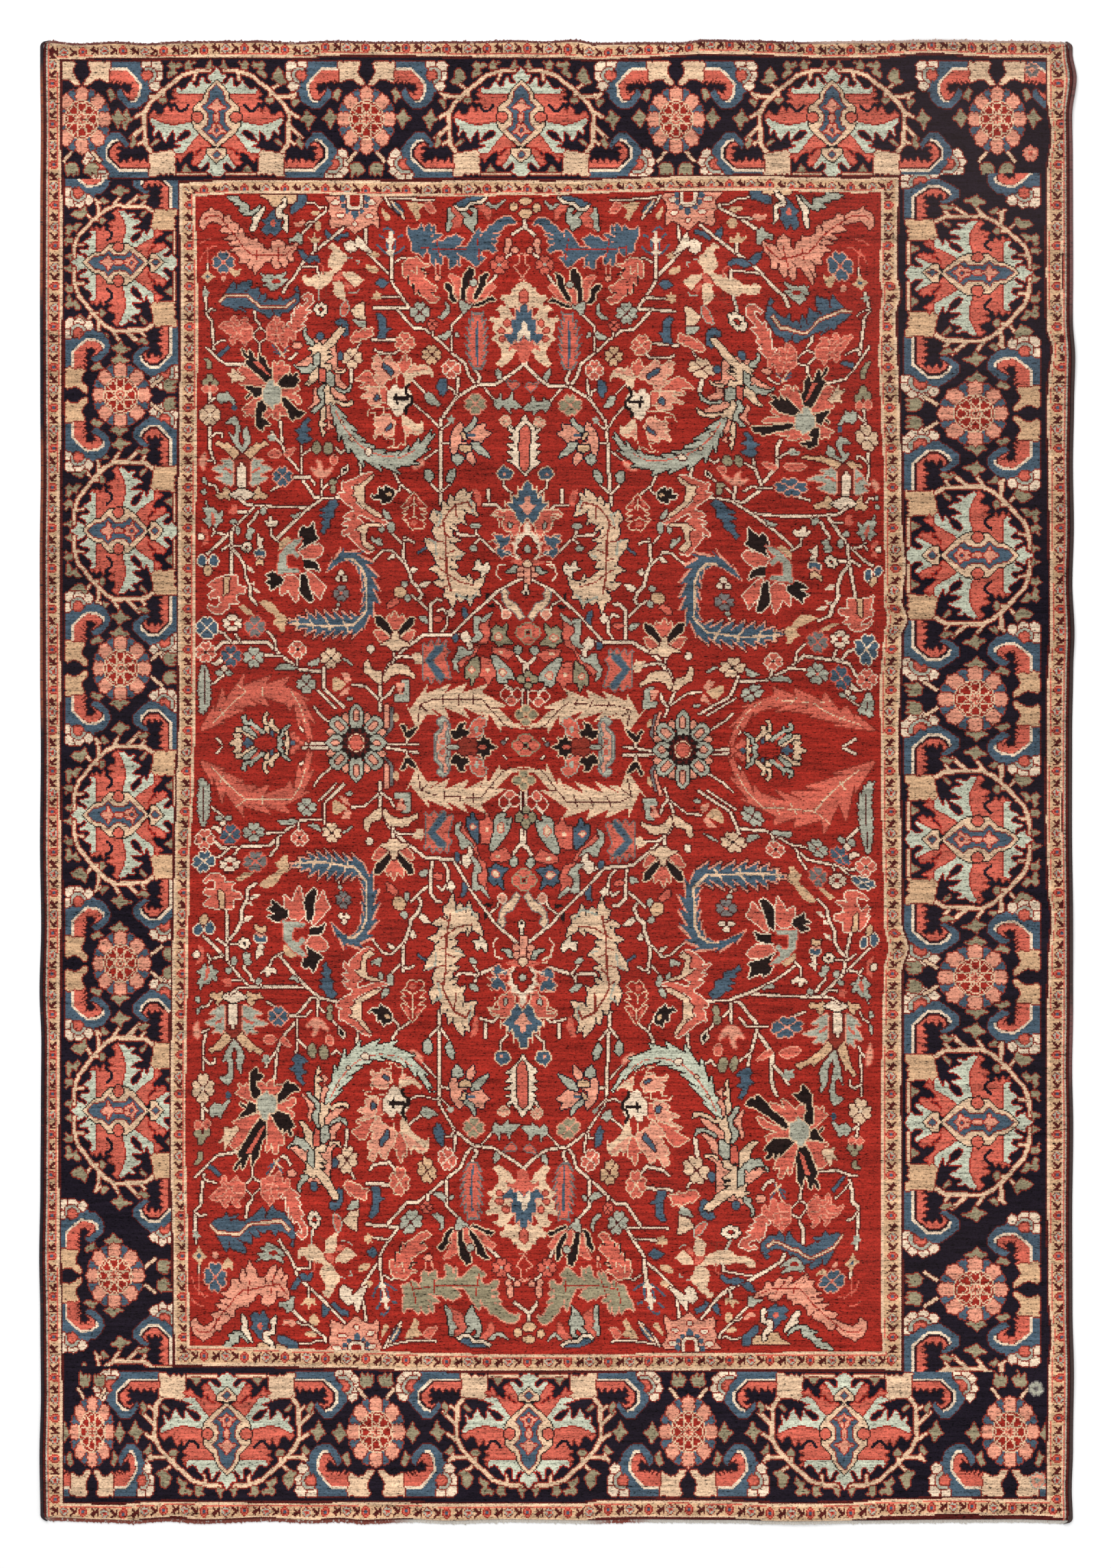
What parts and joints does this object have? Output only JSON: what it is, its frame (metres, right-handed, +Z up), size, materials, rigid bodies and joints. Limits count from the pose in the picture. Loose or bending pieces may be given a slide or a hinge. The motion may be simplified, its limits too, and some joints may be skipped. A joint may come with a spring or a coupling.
{
  "type": "persian rug",
  "caption": "Room-size hand-knotted rug lying flat: red field of scrolling flowers, navy main border, two narrow beige guard borders, overcast sides and woven end webs.",
  "frame": {"origin": "on the floor, under the middle of the rug's outline", "axes": "+X to the right across the rug as pictured, +Y along its length towards the end that is uppermost in the picture, +Z up from the floor"},
  "size_m": [2.5194, 3.605, 0.0139],
  "materials": {
    "pile_wool": "matt knotted wool pile",
    "selvedge_wool": "dark overcast wool",
    "web_cotton": "undyed flat-woven cotton"
  },
  "bodies": {
    "root": {"rug_pile": "pile_wool", "selvedge_left": "selvedge_wool", "selvedge_right": "selvedge_wool", "end_web_bottom": "web_cotton", "end_web_top": "web_cotton"}
  },
  "joints": []
}
